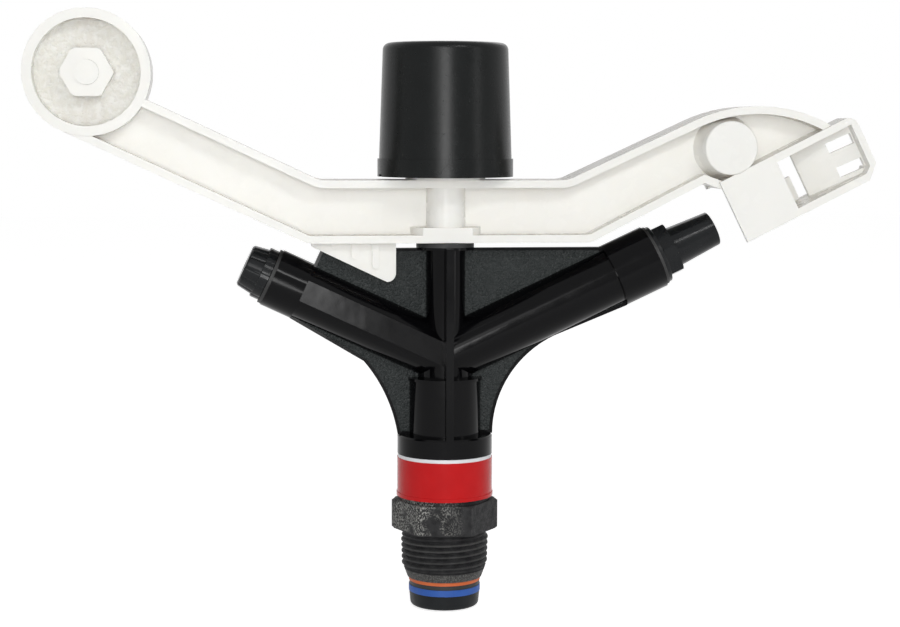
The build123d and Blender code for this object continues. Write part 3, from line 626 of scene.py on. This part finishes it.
def nozzle(name, side, rows, material):
    """Nozzle on the right branch, side 1, or the left one, side -1."""

    def place(along, across, upward):
        run = side * (along * cos(BRANCH_ANGLE)) - upward * sin(BRANCH_ANGLE)
        rise = along * sin(BRANCH_ANGLE) + side * upward * cos(BRANCH_ANGLE)
        return (run, across, CROSSING_HEIGHT + rise)

    piece = turned_piece(name + "_turned", rows, place, material)
    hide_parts(name)
    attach(piece, "body")


def make_nozzles(material):
    """Both nozzles with the steps, the hexagon's turn and the flutes that the photograph shows."""
    wrench = [(along, hexagon_ring(RANGE_HEX_HALF, RANGE_HEX_TURN, cut)) for along, cut in RANGE_HEX_CUTS]
    grip = [(along, fluted(radius)) for along, radius in SPREADER_GRIP]
    nozzle("range_nozzle", 1, [*RANGE_ROOT, *wrench, *RANGE_TIP], material)
    nozzle("spreader_nozzle", -1, [*SPREADER_ROOT, *grip, *SPREADER_END], material)


def spoon_cutter(cut):
    """Closed box in the spoon's slanted frame."""
    points = []
    for along in cut[0]:
        for below in cut[1]:
            across = SPOON_X + along * cos(SPOON_ANGLE) + below * sin(SPOON_ANGLE)
            upward = SPOON_Z + along * sin(SPOON_ANGLE) - below * cos(SPOON_ANGLE)
            points += [(across, depth, upward) for depth in cut[2]]
    mesh = bpy.data.meshes.new("spoon_cutter")
    mesh.from_pydata(points, [], BOX_FACES)
    return new_object("spoon_cutter", mesh)


def cut_mesh(source, cutters):
    """Copy of a mesh without what the cutters take out of it."""
    copy = new_object("cut_copy", source.copy())
    for cutter in cutters:
        change = copy.modifiers.new("cut", "BOOLEAN")
        change.operation = "DIFFERENCE"
        change.solver = "EXACT"
        change.object = cutter
    mesh = bpy.data.meshes.new_from_object(copy.evaluated_get(bpy.context.evaluated_depsgraph_get()))
    for used in [copy, *cutters]:
        bpy.data.objects.remove(used)
    return mesh


def drive_arm(material):
    """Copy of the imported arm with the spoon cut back, as the photograph shows it."""
    mesh = cut_mesh(frame["nodes"]["drive_arm"].data, [spoon_cutter(cut) for cut in SPOON_CUTS])
    mesh.name = "drive_arm_open"
    mesh.materials.clear()
    mesh.materials.append(material)
    piece = new_object("drive_arm_open", mesh)
    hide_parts("drive_arm")
    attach(piece, "arm")
    return piece


def spring_path(radius, wire, coils, low, high):
    """Points along a coil whose end turns lie nearly flat."""
    count = int(coils * SPRING_STEPS)
    points = []
    for step in range(count + 1):
        turn = coils * step / count
        rise = min(1.0, max(0.0, (turn - END_TURN) / (coils - 2 * END_TURN)))
        share = (1.0 - END_RISE) * rise + END_RISE * step / count
        level = low + wire / 2 + (high - low - wire) * share
        points.append(Vector((radius * cos(2 * pi * turn), radius * sin(2 * pi * turn), level)))
    return points


def wire_piece(name, path, wire, material):
    """Round wire along a path, closed at both ends."""
    points = []
    for index, point in enumerate(path):
        ahead = path[min(index + 1, len(path) - 1)]
        behind = path[max(index - 1, 0)]
        along = (ahead - behind).normalized()
        outward = Vector((point.x, point.y, 0.0)).normalized()
        upward = along.cross(outward).normalized()
        outward = upward.cross(along)
        for side in range(WIRE_SIDES):
            turn = 2 * pi * side / WIRE_SIDES
            points.append(point + (outward * cos(turn) + upward * sin(turn)) * wire / 2)
    faces = [tuple(reversed(range(WIRE_SIDES)))]
    for index in range(len(path) - 1):
        faces += band(index, index + 1, WIRE_SIDES)
    faces.append(tuple(range(len(points) - WIRE_SIDES, len(points))))
    return mesh_piece(name, points, faces, material)


def make_springs(material):
    """Both springs as round wire in place of the plain coils."""
    coil = wire_piece("arm_spring_wire", spring_path(**ARM_SPRING), ARM_SPRING["wire"], material)
    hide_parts("arm_spring")
    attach(coil, "body")
    coil = wire_piece("bearing_spring_wire", spring_path(**BEARING_SPRING), BEARING_SPRING["wire"], material)
    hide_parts("bearing_spring")
    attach(coil, "inlet")


def make_camera():
    """Camera at the photograph's place and angle."""
    data = bpy.data.cameras.new("camera")
    data.sensor_width = SENSOR_WIDTH
    data.lens = FOCAL_PIXELS * SENSOR_WIDTH / IMAGE_WIDTH
    back = Vector((sin(CAMERA_AZIMUTH), -cos(CAMERA_AZIMUTH), 0.0))
    right = Vector((cos(CAMERA_AZIMUTH), sin(CAMERA_AZIMUTH), 0.0))
    ahead = -back * cos(CAMERA_PITCH) - Vector((0.0, 0.0, sin(CAMERA_PITCH)))
    upward = right.cross(ahead)
    across = right * cos(CAMERA_ROLL) + upward * sin(CAMERA_ROLL)
    upright = upward * cos(CAMERA_ROLL) - right * sin(CAMERA_ROLL)
    turned = Matrix((across, upright, -ahead)).transposed().to_4x4()
    camera = new_object("camera", data)
    camera.matrix_world = Matrix.Translation(CAMERA_PLACE) @ turned
    bpy.context.scene.camera = camera


def make_lamps():
    """Soft lamps in front, at the side and behind."""
    for name, (place, target, width, height, watts) in LAMPS.items():
        data = bpy.data.lights.new(name, "AREA")
        data.shape = "RECTANGLE"
        data.size = width
        data.size_y = height
        data.energy = watts
        lamp = new_object(name, data)
        lamp.location = place
        lamp.rotation_mode = "QUATERNION"
        lamp.rotation_quaternion = (Vector(target) - Vector(place)).to_track_quat("-Z", "Y")


def seen_directly(tree):
    """1 for rays from the camera, a reflection or a transmission, 0 for light on the object."""
    rays = add(tree, "ShaderNodeLightPath")
    mirrored = calculate(tree, "MAXIMUM", rays.outputs["Is Camera Ray"], rays.outputs["Is Glossy Ray"])
    return calculate(tree, "MAXIMUM", mirrored, rays.outputs["Is Transmission Ray"])


def make_world():
    """White backdrop, and a pale light on the object that is weaker from above and below."""
    world = bpy.data.worlds.new("world")
    world.use_nodes = True
    tree = world.node_tree
    background = tree.nodes["Background"]
    background.inputs["Color"].default_value = (1.0, 1.0, 1.0, 1.0)
    direction = add(tree, "ShaderNodeTexCoord")
    split = add(tree, "ShaderNodeSeparateXYZ")
    tree.links.new(direction.outputs["Generated"], split.inputs["Vector"])
    steepness = calculate(tree, "ABSOLUTE", split.outputs["Z"])
    ambient = remap(tree, steepness, 0.0, 1.0, AMBIENT, AMBIENT * (1.0 - AMBIENT_TILT))
    direct = seen_directly(tree)
    shaded = multiply(tree, ambient, calculate(tree, "SUBTRACT", 1.0, direct))
    strength = calculate(tree, "ADD", shaded, multiply(tree, direct, BACKDROP))
    tree.links.new(strength, background.inputs["Strength"])
    bpy.context.scene.world = world


def floor_material():
    """White paint that keeps the shadow, lifted to the backdrop's white where it is seen."""
    material = bpy.data.materials.new("floor")
    material.use_nodes = True
    tree = material.node_tree
    tree.nodes.clear()
    paint = add(tree, "ShaderNodeBsdfDiffuse", {"Color": (*FLOOR_COLOUR, 1.0)})
    glow = add(tree, "ShaderNodeEmission", {"Color": (1.0, 1.0, 1.0, 1.0)})
    tree.links.new(multiply(tree, seen_directly(tree), FLOOR_LIFT), glow.inputs["Strength"])
    both = add(tree, "ShaderNodeAddShader")
    tree.links.new(paint.outputs[0], both.inputs[0])
    tree.links.new(glow.outputs[0], both.inputs[1])
    out = add(tree, "ShaderNodeOutputMaterial")
    tree.links.new(both.outputs[0], out.inputs["Surface"])
    return material


def make_floor():
    """Plain white floor just under the lowest piece."""
    half = FLOOR_SIZE / 2
    level = CAD_LOW.z - FLOOR_GAP
    mesh = bpy.data.meshes.new("floor")
    corners = [(-half, -half, level), (half, -half, level), (half, half, level), (-half, half, level)]
    mesh.from_pydata(corners, [], [(0, 1, 2, 3)])
    mesh.materials.append(floor_material())
    floor_object = new_object("floor", mesh)


bpy.context.scene.view_settings.view_transform = "Standard"
make_camera()
make_lamps()
make_world()
make_floor()
made = make_materials()
dress_nodes(made)
inlet_nipple(made["nipple_black"])
make_nozzles(made["nozzle_black"])
make_springs(made["stainless"])
soften_edges(drive_arm(made["arm_ivory"]), ARM_EDGE_WIDTH)
soften_edges(frame["nodes"]["sprinkler_body"], BODY_EDGE_WIDTH)
